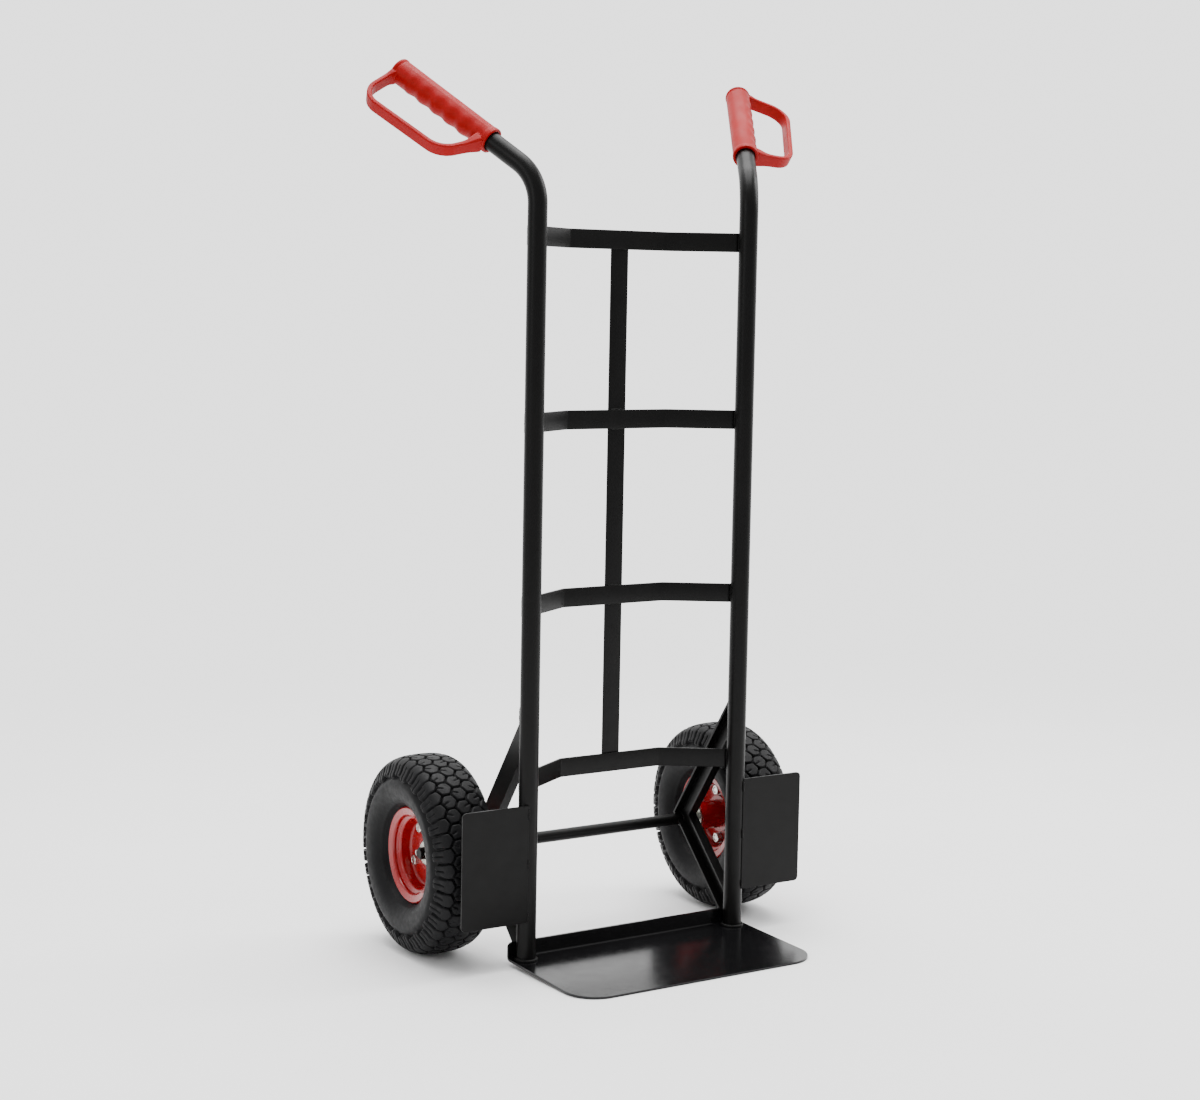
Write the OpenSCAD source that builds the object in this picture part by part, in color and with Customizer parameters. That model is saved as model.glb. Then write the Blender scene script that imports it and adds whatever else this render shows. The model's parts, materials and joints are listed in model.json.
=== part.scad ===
// Hand truck with two pneumatic wheels, a folded toe plate and guarded hand grips.
// X runs across the truck (left wheel at -X), the load side faces -Y, +Z is up.
// The origin is on the floor, at the centre of the footprint's bounding box.

/* [Frame tubes] */
// Distance between the two uprights, centre to centre
upright_gap = 322; // [300:1:360]
// Outside diameter of the frame tube
tube_d = 25; // [22:0.5:28]
// Wall of the frame tube
tube_wall = 2; // [1.5:0.1:3]
// Height on the upright where the handle bend starts
bend_start = 965.5; // [960:0.5:975]
// Radius of the handle bend, to the tube's centre line
bend_r = 62.3; // [55:0.1:80]
// Angle that the handle bends back from the upright
bend_angle = 56.7; // [45:0.1:65]
// Angle that the handles turn outwards, seen from above
splay = 29.9; // [20:0.1:35]
// Straight tube from the end of the bend to the mouth of the grip
neck_len = 47.8; // [40:0.1:60]
// Length of tube inside the grip
tube_in_grip = 166; // [120:1:168]

/* [Crossbars] */
// Width of the flat bar
bar_h = 25; // [20:1:30]
// Thickness of the flat bar
bar_t = 3; // [3:0.5:5]
// How far the middle of a bar is set back
bar_setback = 49; // [30:1:55]
// Half length of a bar's set-back middle
bar_bend_x = 77; // [60:1:100]
// Height of the top bar's centre
bar_z1 = 926.6; // [920:0.1:935]
// Height of the upper bar's centre
bar_z2 = 691.2; // [680:0.1:700]
// Height of the lower bar's centre
bar_z3 = 457.6; // [450:0.1:470]
// Height of the bottom bar's centre
bar_z4 = 231.6; // [225:0.1:240]
// Width of the centre strip
strip_w = 26; // [20:1:30]

/* [Toe plate] */
// Width of the toe plate
toe_w = 360; // [340:1:380]
// Front edge of the toe plate, measured from the uprights' centre line
toe_front = 174; // [160:1:190]
// Thickness of the toe plate
toe_t = 3; // [3:0.5:5]
// Height of the upturned rear edge
toe_lip_h = 23.5; // [20:0.5:28]
// Radius of the front corners
toe_corner = 42; // [25:1:50]

/* [Wheel guards] */
// Outer edge of a guard plate, from the middle of the truck
guard_x = 261.4; // [255:0.1:270]
// Lower edge of a guard plate
guard_z0 = 54.9; // [50:0.1:60]
// Upper edge of a guard plate
guard_z1 = 206.5; // [200:0.1:215]

/* [Axle] */
// Axle diameter
axle_d = 16; // [16:1:16]
// Axle centre behind the uprights' centre line
axle_y = 135.8; // [134:0.1:139]
// Axle centre above the toe plate's underside
axle_z = 119.5; // [117:0.1:122]
// Half length of the axle
axle_half = 247.5; // [246:0.5:250]

/* [Wheels] */
// Middle of a wheel, from the middle of the truck
wheel_x = 234; // [232:0.5:236]
// Outside diameter of the tyre
tyre_d = 260; // [260:1:260]
// Width of the tyre
tyre_w = 90; // [80:1:92]
// Outside diameter of the rim flanges
rim_d = 127; // [122:1:130]
// Half width of the rim, to the flange
rim_half_w = 26.5; // [25:0.5:30]
// Angle that the left wheel happens to be turned
wheel_turn_left = 28.5; // [-45:0.5:45]
// Angle that the right wheel happens to be turned
wheel_turn_right = -3; // [-45:0.5:45]
// Circle that the four rim bolts lie on
rim_bolt_pcd = 69; // [66:1:74]

/* [Grips] */
// Diameter of the grip sleeve
grip_d = 33; // [31:0.5:36]
// Length of the grip, mouth to end cap
grip_len = 170; // [170:1:180]
// Turn of the left grip's guard below horizontal
grip_turn_left = 33; // [10:1:45]
// Turn of the right grip's guard below horizontal
grip_turn_right = 20; // [10:1:45]
// Width of the guard strap
strap_w = 17; // [14:1:22]
// Thickness of the guard strap
strap_t = 7.6; // [3:0.2:9]

/* [Hidden] */
$fn = 64;

xu = upright_gap / 2;
tr = tube_d / 2;
fuzz = 1;
foot_seat = 0.2;
// the stance: the truck leans forward until the toe plate's front edge and the tyres share the floor
lean = asin(tyre_d / 2 / norm([axle_y + toe_front, axle_z])) - atan2(axle_z, axle_y + toe_front);
lift = toe_front * sin(lean);
// the footprint's centre, so the origin lies under the middle of the bounding box
shift_y = -43.8;
strip_y = bar_setback + tr + bar_t;
// the strip is welded on slightly off the middle
strip_x = 1.5;

// wheel interior, all measured along the axle from the wheel's middle, outwards positive
disc_t = 2;
hub_r = 19.5;
hub_in = -44;
hub_out = 3.5;
brg_r = 17.5;
brg_w = 11;
inner_ring_r = 10.6;
outer_ring_r = 14.9;
ball_r = 1.85;
brg_z = [hub_in + 1, hub_out - 1 - brg_w];

// how far each wheel happens to be turned, and where its valve sits between two bolts
function wheel_turn(s) = s > 0 ? wheel_turn_right : wheel_turn_left;
valve_r = 48.2;
valve_z = 10.6;
module at_valve(s) at_wheel(s) rotate([0, 0, wheel_turn(s) - 135]) translate([valve_r, 0, valve_z]) rotate([0, 90, 0]) children();

function arc(cx, cy, r, a0, a1, n) = [for (i = [0:n]) [cx + r * cos(a0 + (a1 - a0) * i / n), cy + r * sin(a0 + (a1 - a0) * i / n)]];

// Places children in the truck's own upright frame, then leans it to its stance
module stance() translate([0, shift_y, lift]) rotate([lean, 0, 0]) children();

// side is -1 for left and 1 for right
module at_bend(side) translate([side * xu, 0, bend_start]) rotate([0, 0, -side * splay]) children();
module at_neck(side) at_bend(side) translate([0, bend_r * (1 - cos(bend_angle)), bend_r * sin(bend_angle)]) rotate([-bend_angle, 0, 0]) children();
module at_grip(side, turn) at_neck(side) translate([0, 0, neck_len]) rotate([0, 0, side > 0 ? turn : 180 - turn]) children();
module at_wheel(side) translate([side * wheel_x, axle_y, axle_z]) rotate([0, side * 90, 0]) children();

// ---- frame ----
module upright_solid(side, r) {
    lap = 0.3;
    bore = r < tr ? fuzz : 0;
    translate([side * xu, 0, toe_t - foot_seat - bore]) cylinder(h = bend_start - toe_t + foot_seat + lap + bore, r = r);
    // the bend is drawn 0.02 mm slimmer, as drawn tube is, and laps into both straights
    at_bend(side) translate([0, bend_r, 0]) rotate([0, -90, 0]) rotate([0, 0, -90]) rotate_extrude(angle = bend_angle) translate([bend_r, 0]) circle(r = r - 0.02);
    at_neck(side) translate([0, 0, -lap]) cylinder(h = neck_len + tube_in_grip + lap + bore, r = r);
}
module upright(side) color([0.13, 0.13, 0.13]) stance() difference() {
    upright_solid(side, tr);
    upright_solid(side, tr - tube_wall);
}

// Flat bar bent twice, welded to the back of both uprights
module crossbar(z) color([0.13, 0.13, 0.13]) stance() {
    y0 = tr;
    y1 = tr + bar_setback;
    xe = xu + 6;
    k = bar_t * tan(atan2(bar_setback, xu - 8 - bar_bend_x) / 2);
    xb = bar_bend_x;
    xk = xu - 8;
    translate([0, 0, z - bar_h / 2]) linear_extrude(bar_h) polygon([
        [-xe, y0], [-xk, y0], [-xb, y1], [xb, y1], [xk, y0], [xe, y0],
        [xe, y0 + bar_t], [xk + k, y0 + bar_t], [xb + k, y1 + bar_t], [-xb - k, y1 + bar_t], [-xk - k, y0 + bar_t], [-xe, y0 + bar_t]]);
}

module centre_strip() color([0.13, 0.13, 0.13]) stance()
    translate([strip_x - strip_w / 2, strip_y, bar_z4 - 9]) cube([strip_w, bar_t, bar_z1 - bar_z4 + 18]);

module wheel_guard(side) color([0.14, 0.14, 0.14]) stance() difference() {
    translate([side > 0 ? xu + 5.2 : -guard_x, -tr + 0.1, guard_z0]) {
        w = guard_x - xu - 5.2;
        h = guard_z1 - guard_z0;
        r = 6;
        x0 = side > 0 ? 0 : r;
        rotate([90, 0, 0]) translate([0, 0, -3]) linear_extrude(3) union() {
            translate([x0, 0]) square([w - r, h]);
            translate([0, r]) square([w, h - 2 * r]);
            for (z = [r, h - r]) translate([side > 0 ? w - r : r, z]) circle(r = r);
        }
    }
    translate([side * xu, 0, guard_z0 - fuzz]) cylinder(h = guard_z1 - guard_z0 + 2 * fuzz, r = tr);
}

// Plate with rounded front corners and an upturned edge behind the uprights
module toe_plate() color([0.12, 0.12, 0.13]) stance() {
    y1 = tr + toe_t;
    w = toe_w / 2;
    c = toe_corner;
    difference() {
        linear_extrude(toe_t) union() {
            translate([-w, -toe_front + c]) square([toe_w, toe_front - c + y1]);
            translate([-w + c, -toe_front]) square([toe_w - 2 * c, c + 1]);
            for (s = [-1, 1]) translate([s * (w - c), -toe_front + c]) circle(r = c, $fn = 96);
        }
        // shallow seats under the welded feet of the uprights, so a load's plate clears the joint
        for (s = [-1, 1]) translate([s * xu, 0, toe_t - foot_seat]) cylinder(h = 1, r = tr + 2.6, $fn = 96);
    }
    translate([0, tr, 0]) rotate([90, 0, 0]) translate([0, 0, -toe_t]) linear_extrude(toe_t) union() {
        translate([-w, toe_t - 0.5]) square([toe_w, toe_lip_h - 6 - toe_t + 0.5]);
        translate([-w + 6, toe_lip_h - 7]) square([toe_w - 12, 7]);
        for (s = [-1, 1]) translate([s * (w - 6), toe_lip_h - 6]) circle(r = 6);
    }
}

// V of pressed channel, from the upright back to the axle and down to the toe plate
function unit(v) = v / norm(v);
function nrm(v) = [v[1], -v[0]];
function band(a, b, c, lo, hi) =
    let (d1 = unit(b - a), d2 = unit(c - b), n1 = nrm(d1), n2 = nrm(d2), m = (n1 + n2) / (1 + n1 * n2))
    [a + n1 * lo, b + m * lo, c + n2 * lo, c + n2 * hi, b + m * hi, a + n1 * hi];
v_top = [-16, 350.3];
v_tip = [141.2, 129.4];
v_low = [-12, -15.0];
web_x = 168;
web_t = 3;
flange_w = 10;
module axle_bracket(side) color([0.13, 0.13, 0.13]) stance() difference() {
    mirror([side < 0 ? 1 : 0, 0, 0]) rotate([90, 0, 90]) {
        translate([0, 0, web_x - web_t]) linear_extrude(web_t) polygon(band(v_top, v_tip, v_low, 0, 30));
        translate([0, 0, web_x - web_t - flange_w]) linear_extrude(flange_w + 0.5) polygon(band(v_top, v_tip, v_low, 0, 3));
        translate([0, 0, web_x - web_t - flange_w]) linear_extrude(flange_w + 0.5) polygon(band(v_top, v_tip, v_low, 27, 30));
    }
    translate([side * xu, 0, -60]) cylinder(h = 500, r = tr);
    translate([side * xu - 40, -60, -60]) cube([80, 64.5, 500]);
    translate([side * xu - 40, -60, -60]) cube([80, 60 + tr + toe_t, 60 + toe_lip_h]);
    translate([side * (web_x - 30), axle_y, axle_z]) rotate([0, side * 90, 0]) cylinder(h = 60, d = axle_d);
    // the bottom crossbar's end passes the upper arm
    translate([side * xu - 40, tr - 0.5, bar_z4 - bar_h / 2]) cube([46, bar_t + 0.5, bar_h]);
}

// ---- axle ----
module axle() color([0.3, 0.3, 0.31]) stance() translate([-axle_half, axle_y, axle_z]) rotate([0, 90, 0]) difference() {
    union() {
        cylinder(h = 2 * axle_half, d = axle_d - 3);
        translate([0, 0, 1.5]) cylinder(h = 2 * axle_half - 3, d = axle_d);
    }
    for (z = [4.6, 2 * axle_half - 4.6]) translate([0, 0, z]) rotate([0, 0, 80]) rotate([0, 90, 0]) translate([0, 0, -15]) cylinder(h = 30, d = 3.6, $fn = 32);
}
module ring(h, ro, ri) difference() {
    cylinder(h = h, r = ro);
    translate([0, 0, -fuzz]) cylinder(h = h + 2 * fuzz, r = ri);
}
module axle_spacers() color([0.7, 0.71, 0.7]) stance() for (s = [-1, 1]) at_wheel(s)
    translate([0, 0, web_x - wheel_x]) ring(hub_in - 2.4 - (web_x - wheel_x), 11, axle_d / 2);
module axle_washers() color([0.75, 0.75, 0.73]) stance() for (s = [-1, 1]) at_wheel(s)
    translate([0, 0, hub_out - 1 + 0.02]) ring(3, 14.6, axle_d / 2);
module thrust_washers() color([0.75, 0.75, 0.73]) stance() for (s = [-1, 1]) at_wheel(s)
    translate([0, 0, hub_in - 2.4]) ring(2, 18, axle_d / 2);
// Split pin through the axle's end: an eye on one side, two legs bent down on the other
module split_pin(down) {
    rotate([0, 90, 0]) {
        translate([0, 0, -11]) cylinder(h = 23, r = 1.55, $fn = 32);
    }
    translate([-14.2, 0, 0]) rotate_extrude() translate([3.1, 0]) circle(r = 1.1, $fn = 24);
    for (a = [42, 78]) translate([11.6, 0, 0]) rotate([0, 0, down * a]) rotate([0, 90, 0]) translate([0, 0, -0.4]) cylinder(h = 11, r = 1.1, $fn = 24);
}
module split_pins() color([0.78, 0.78, 0.76]) stance() {
    at_wheel(-1) translate([0, 0, axle_half - wheel_x - 4.6]) rotate([0, 0, -80]) split_pin(-1);
    at_wheel(1) translate([0, 0, axle_half - wheel_x - 4.6]) rotate([0, 0, -100]) split_pin(1);
}
module bearing_inner_rings() color([0.8, 0.8, 0.82]) stance() for (s = [-1, 1]) at_wheel(s) for (z = brg_z)
    translate([0, 0, z]) ring(brg_w, inner_ring_r, axle_d / 2);

// ---- wheels ----
module bearing_outer_rings(s) color([0.8, 0.8, 0.82]) stance() at_wheel(s) for (z = brg_z)
    translate([0, 0, z]) ring(brg_w, brg_r, outer_ring_r);
module bearing_balls(s) color([0.85, 0.85, 0.86]) stance() at_wheel(s) for (z = brg_z)
    translate([0, 0, z + brg_w / 2]) for (a = [0:40:359]) rotate([0, 0, a]) translate([outer_ring_r - ball_r, 0, 0]) sphere(r = ball_r, $fn = 24);

module hub(s) color([0.68, 0.06, 0.1]) stance() at_wheel(s) rotate_extrude() polygon([
    [brg_r, hub_in], [hub_r, hub_in], [hub_r, -disc_t - 3], [26, -disc_t - 3], [26, -disc_t], [hub_r, -disc_t],
    [hub_r, hub_out], [brg_r, hub_out], [brg_r, hub_out - 1 - brg_w], [15.5, hub_out - 1 - brg_w],
    [15.5, hub_in + 1 + brg_w], [brg_r, hub_in + 1 + brg_w]]);

// Half of the pressed rim: disc, barrel, bead seat and rolled flange. o is 1 for the outer half.
module rim_profile() {
    t = disc_t;
    R = rim_d / 2;
    W = rim_half_w;
    polygon(concat(
        [[hub_r + 0.05, 0], [40.5, 0]],
        arc(40.5, 4.5, 4.5, -90, 0, 6),
        [[45.0, W - 13]],
        arc(49.0, W - 13, 4.0, 180, 90, 5),
        [[51.3, W - 7.5], [51.3, W - 4.4], [52.5, W - 2.2], [58.5, W - 0.8]],
        arc(59.9, W - 3.6, 3.6, 75, 0, 6),
        [[61.5, W - 3.6]],
        arc(59.4, W - 3.6, 2.1, 0, 80, 5),
        [[53.5, W - 4.1], [53.3, W - 7.5], [51.6, W - 11.0]],
        arc(49.0, W - 13, 2.0, 90, 180, 5),
        [[47.0, 4.5]],
        arc(40.5, 4.5, 6.5, 0, -90, 6),
        [[hub_r + 0.05, -t]]
    ));
}
module rim_bolt_places(s) for (i = [0:3]) rotate([0, 0, wheel_turn(s) + 90 * i]) translate([rim_bolt_pcd / 2, 0, 0]) children();
module rim_half(s, o) color([0.68, 0.06, 0.1]) stance() at_wheel(s) difference() {
    mirror([0, 0, o > 0 ? 0 : 1]) translate([0, 0, disc_t]) rotate_extrude() rim_profile();
    translate([0, 0, -8]) rim_bolt_places(s) cylinder(h = 16, d = 8.4);
    if (o > 0) rotate([0, 0, wheel_turn(s) - 135]) translate([valve_r, 0, valve_z]) rotate([0, 90, 0]) cylinder(h = 20, d = 8.4, center = true, $fn = 48);
}
module tyre_outer() {
    w = tyre_w / 2;
    R = tyre_d / 2;
    polygon(concat(
        [[53.6, -23.6], [63.9, -23.8], [64.2, -30.6]],
        arc(89, -w + 26, 26, 205, 270, 7),
        arc(102, -w + 14, 14, -90, -38, 5),
        [[120.5, -37.5], [126.5, -30], [129.2, -18], [R, -6], [R, 6], [129.2, 18], [126.5, 30], [120.5, 37.5]],
        arc(102, w - 14, 14, 38, 90, 5),
        arc(89, w - 26, 26, 90, 155, 7),
        [[64.2, 30.6], [63.9, 23.8], [53.6, 23.6], [53.6, 15.5], [60, 17]],
        arc(86, 10, 27, 165, 90, 8),
        [[100, 36.5], [112, 30], [118, 16], [119.5, 0], [118, -16], [112, -30], [100, -36.5]],
        arc(86, -10, 27, 270, 195, 8),
        [[60, -17], [53.6, -15.5]]
    ));
}
module tyre(s) color([0.09, 0.09, 0.09]) stance() at_wheel(s) rotate_extrude($fn = 128) tyre_outer();
module inner_tube(s) color([0.16, 0.16, 0.16]) stance() at_wheel(s) difference() {
    rotate_extrude($fn = 96) difference() {
        polygon(concat([[49.6, -12.5], [53.0, -14.6], [60.6, -16]], arc(86, -10, 26, 195, 270, 8),
            [[99.6, -35.4], [111.3, -29.3], [117.1, -15.6], [118.6, 0], [117.1, 15.6], [111.3, 29.3], [99.6, 35.4]],
            arc(86, 10, 26, 90, 165, 8), [[60.6, 16], [53.0, 14.6], [49.6, 12.5]]));
        polygon([[52.2, -11], [61.5, -13.5], [66, -24], [80, -33], [98.5, -33], [109.5, -27.7], [115.2, -15], [116.6, 0],
            [115.2, 15], [109.5, 27.7], [98.5, 33], [80, 33], [66, 24], [61.5, 13.5], [52.2, 11]]);
    }
}
module rim_bolts(s) color([0.78, 0.78, 0.76]) stance() at_wheel(s) rim_bolt_places(s) translate([0, 0, disc_t]) {
    cylinder(h = 4.8, d = 14.4, $fn = 6);
    translate([0, 0, -11.8]) cylinder(h = 12.3, d = 8);
}
module rim_nuts(s) color([0.78, 0.78, 0.76]) stance() at_wheel(s) rim_bolt_places(s) translate([0, 0, -disc_t - 2 - 6.5]) difference() {
    cylinder(h = 6.5, d = 14.4, $fn = 6);
    translate([0, 0, -fuzz]) cylinder(h = 6.5 + 2 * fuzz, d = 8);
}
module spring_washers(s) color([0.7, 0.7, 0.68]) stance() at_wheel(s) rim_bolt_places(s) translate([0, 0, -disc_t - 2]) ring(2, 6, 4);
module valve_stem(s) color([0.12, 0.12, 0.12]) stance() at_valve(s) {
    translate([0, 0, -11.8]) cylinder(h = 13, d = 7.8, $fn = 48);
    translate([0, 0, -15.6]) cylinder(h = 4, d = 5.2, $fn = 48);
}
module valve_cap(s) color([0.1, 0.1, 0.1]) stance() at_valve(s)
    translate([0, 0, -21.5]) difference() {
        cylinder(h = 8.5, d = 8.4, $fn = 48);
        translate([0, 0, 2.6]) cylinder(h = 7, d = 5.2, $fn = 48);
    }

// ---- grips ----
// closed outline of the guard: offset e inwards from the strap's outside
function guard_pts(e) =
    let (b = [166 - e, 77 - e], c = [22 + e, 71 - e], a = [grip_len - 0.5 - e, 10], d = [1.0 + e * 0.9, 12],
         rb = 30 - e, rc = 34 - e)
    concat([[e < 1 ? 3 : 8, 0], d], fillet(d, c, b, rc), fillet(c, b, a, rb), [a, [e < 1 ? grip_len - 3 : grip_len - 8, 0]]);
// rounds the corner q between p and r with radius rad
function fillet(p, q, r, rad) =
    let (u = unit(p - q), v = unit(r - q), h = acos(u * v) / 2, l = rad / tan(h), m = unit(u + v), o = q + m * rad / sin(h),
         s = q + u * l, a0 = atan2(s[1] - o[1], s[0] - o[0]), t = q + v * l, a1r = atan2(t[1] - o[1], t[0] - o[0]),
         a1 = a1r - a0 > 180 ? a1r - 360 : (a1r - a0 < -180 ? a1r + 360 : a1r))
    [for (i = [0:8]) o + rad * [cos(a0 + (a1 - a0) * i / 8), sin(a0 + (a1 - a0) * i / 8)]];
module grip(side, turn) color([0.8, 0.12, 0.12]) stance() at_grip(side, turn) difference() {
    union() {
        cylinder(h = grip_len, d = grip_d);
        translate([0, 0, grip_len - 4]) cylinder(h = 4, d = grip_d + 1.4);
        cylinder(h = 6, d = grip_d + 1.4);
        rotate([-90, -90, 0]) translate([0, 0, -strap_w / 2]) guard_plate();
    }
    translate([0, 0, -fuzz]) cylinder(h = tube_in_grip + fuzz + 0.5, r = tr);
}
module guard_plate() linear_extrude(strap_w) difference() {
    polygon(guard_pts(0));
    polygon(guard_pts(strap_t));
}

upright(-1);  // left_upright
upright(1);  // right_upright
grip(-1, grip_turn_left);  // left_grip
grip(1, grip_turn_right);  // right_grip
crossbar(bar_z1);  // top_crossbar
crossbar(bar_z2);  // upper_crossbar
crossbar(bar_z3);  // lower_crossbar
crossbar(bar_z4);  // bottom_crossbar
centre_strip();
wheel_guard(-1);  // left_wheel_guard
wheel_guard(1);  // right_wheel_guard
toe_plate();
axle_bracket(-1);  // left_axle_bracket
axle_bracket(1);  // right_axle_bracket
axle();
axle_spacers();
axle_washers();
thrust_washers();
split_pins();
bearing_inner_rings();
tyre(-1);  // left_tyre
inner_tube(-1);  // left_inner_tube
rim_half(-1, 1);  // left_rim_outer
rim_half(-1, -1);  // left_rim_inner
hub(-1);  // left_hub
bearing_outer_rings(-1);  // left_bearing_outer_rings
bearing_balls(-1);  // left_bearing_balls
rim_bolts(-1);  // left_rim_bolts
rim_nuts(-1);  // left_rim_nuts
spring_washers(-1);  // left_spring_washers
valve_stem(-1);  // left_valve_stem
valve_cap(-1);  // left_valve_cap
tyre(1);  // right_tyre
inner_tube(1);  // right_inner_tube
rim_half(1, 1);  // right_rim_outer
rim_half(1, -1);  // right_rim_inner
hub(1);  // right_hub
bearing_outer_rings(1);  // right_bearing_outer_rings
bearing_balls(1);  // right_bearing_balls
rim_bolts(1);  // right_rim_bolts
rim_nuts(1);  // right_rim_nuts
spring_washers(1);  // right_spring_washers
valve_stem(1);  // right_valve_stem
valve_cap(1);  // right_valve_cap
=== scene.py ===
import json
import math

import bmesh
import bpy
import numpy as np
from mathutils import Matrix, Vector


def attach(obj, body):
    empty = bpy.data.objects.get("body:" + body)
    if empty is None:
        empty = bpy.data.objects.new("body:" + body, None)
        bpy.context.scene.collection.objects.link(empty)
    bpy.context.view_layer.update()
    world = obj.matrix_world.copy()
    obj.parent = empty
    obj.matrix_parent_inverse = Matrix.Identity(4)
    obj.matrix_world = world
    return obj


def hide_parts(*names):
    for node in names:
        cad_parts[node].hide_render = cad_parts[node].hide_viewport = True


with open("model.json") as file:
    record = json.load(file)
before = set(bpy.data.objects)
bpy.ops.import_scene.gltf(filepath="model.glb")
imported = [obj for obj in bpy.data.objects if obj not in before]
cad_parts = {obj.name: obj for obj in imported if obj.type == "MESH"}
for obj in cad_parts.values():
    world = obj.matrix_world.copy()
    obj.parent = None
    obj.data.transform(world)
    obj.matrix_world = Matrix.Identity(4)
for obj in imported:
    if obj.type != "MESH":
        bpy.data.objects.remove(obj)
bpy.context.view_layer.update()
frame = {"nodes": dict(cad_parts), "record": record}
R = math.radians

# ---------------------------------------------------------------- sizes, mm, in the truck's upright frame
XU, TR = 161.0, 12.5
BEND_Z, BEND_R, BEND_A, SPLAY, NECK, TUBE_IN = 965.5, 62.3, 56.7, 29.9, 47.8, 166.0
AXLE_Y, AXLE_Z, AXLE_HALF, WHEEL_X = 135.8, 119.5, 247.5, 234.0
TOE_FRONT, TOE_T, TOE_W, TOE_LIP = 174.0, 3.0, 360.0, 23.5
SHIFT_Y = -43.8
GRIP_LEN = 170.0
TURN = {-1: 33.0, 1: 20.0}
SPIN = {-1: 28.5, 1: -3.0}
BARS = {"top": 926.6, "upper": 691.2, "lower": 457.6, "bottom": 231.6}
LEAN = math.degrees(math.asin(130 / math.hypot(AXLE_Y + TOE_FRONT, AXLE_Z)) - math.atan2(AXLE_Z, AXLE_Y + TOE_FRONT))
LIFT = TOE_FRONT * math.sin(R(LEAN))
SIDE = {-1: "left", 1: "right"}


def T(x, y, z):
    m = np.eye(4)
    m[:3, 3] = (x, y, z)
    return m


def Rot(axis, deg):
    return np.array(Matrix.Rotation(R(deg), 4, axis))


STANCE = T(0, SHIFT_Y, LIFT) @ Rot("X", LEAN)


def at_bend(s):
    return STANCE @ T(s * XU, 0, BEND_Z) @ Rot("Z", -s * SPLAY)


def at_grip(s):
    a = R(BEND_A)
    m = at_bend(s) @ T(0, BEND_R * (1 - math.cos(a)), BEND_R * math.sin(a)) @ Rot("X", -BEND_A) @ T(0, 0, NECK)
    return m @ Rot("Z", TURN[s] if s > 0 else 180 - TURN[s])


def at_wheel(s):
    return STANCE @ T(s * WHEEL_X, AXLE_Y, AXLE_Z) @ Rot("Y", s * 90)


# ---------------------------------------------------------------- materials
def new_mat(name):
    m = bpy.data.materials.new(name)
    m.use_nodes = True
    nt = m.node_tree
    return m, nt, nt.nodes["Principled BSDF"]


def noise(nt, scale, detail=3.0, rough=0.5, dist=0.0):
    if "tc" not in nt.nodes:
        tc = nt.nodes.new("ShaderNodeTexCoord")
        tc.name = "tc"
    n = nt.nodes.new("ShaderNodeTexNoise")
    n.inputs["Scale"].default_value = scale
    n.inputs["Detail"].default_value = detail
    n.inputs["Roughness"].default_value = rough
    n.inputs["Distortion"].default_value = dist
    nt.links.new(nt.nodes["tc"].outputs["Object"], n.inputs["Vector"])
    return n


def ramp(nt, src, stops):
    r = nt.nodes.new("ShaderNodeValToRGB")
    e = r.color_ramp.elements
    while len(e) < len(stops):
        e.new(0.5)
    for k, (p, c) in enumerate(stops):
        e[k].position = p
        e[k].color = (*c, 1) if len(c) == 3 else c
    nt.links.new(src, r.inputs["Fac"])
    return r.outputs["Color"]


def remap(nt, src, a, b, lo, hi):
    m = nt.nodes.new("ShaderNodeMapRange")
    for k, v in zip(("From Min", "From Max", "To Min", "To Max"), (a, b, lo, hi)):
        m.inputs[k].default_value = v
    nt.links.new(src, m.inputs["Value"])
    return m.outputs["Result"]


def bump(nt, srcs, bsdf):
    last = None
    for src, strength, dist in srcs:
        b = nt.nodes.new("ShaderNodeBump")
        b.inputs["Strength"].default_value = strength
        b.inputs["Distance"].default_value = dist
        nt.links.new(src, b.inputs["Height"])
        if last is not None:
            nt.links.new(last, b.inputs["Normal"])
        last = b.outputs["Normal"]
    nt.links.new(last, bsdf.inputs["Normal"])


def powder_coat(name, lo, hi, r0, r1, peel, spec):
    m, nt, b = new_mat(name)
    b.inputs["Specular IOR Level"].default_value = spec
    big, mid, fine = noise(nt, 9, 4), noise(nt, 60, 4, 0.6), noise(nt, 620, 2)
    nt.links.new(ramp(nt, big.outputs["Fac"], [(0.32, lo), (0.68, hi)]), b.inputs["Base Color"])
    nt.links.new(remap(nt, mid.outputs["Fac"], 0.3, 0.7, r0, r1), b.inputs["Roughness"])
    bump(nt, [(fine.outputs["Fac"], peel, 0.0004), (mid.outputs["Fac"], 0.06, 0.0006)], b)
    return m


MAT = {}
MAT["frame_paint"] = powder_coat("frame_powder_coat", (0.0020, 0.0019, 0.0018), (0.0030, 0.0028, 0.0027), 0.32, 0.42, 0.10, 0.14)
MAT["toe_plate_paint"] = powder_coat("toe_plate_coat", (0.0028, 0.0028, 0.0031), (0.0040, 0.0040, 0.0044), 0.14, 0.21, 0.14, 0.26)

m, nt, b = new_mat("grip_red_plastic")
big, mid = noise(nt, 14, 3), noise(nt, 60, 2, 0.5)
nt.links.new(ramp(nt, big.outputs["Fac"], [(0.3, (0.27, 0.0016, 0.0024)), (0.7, (0.32, 0.0024, 0.0032))]), b.inputs["Base Color"])
nt.links.new(remap(nt, mid.outputs["Fac"], 0.3, 0.7, 0.40, 0.54), b.inputs["Roughness"])
bump(nt, [(mid.outputs["Fac"], 0.05, 0.0004)], b)
b.inputs["Specular IOR Level"].default_value = 0.12
MAT["grip_plastic"] = m

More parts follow.
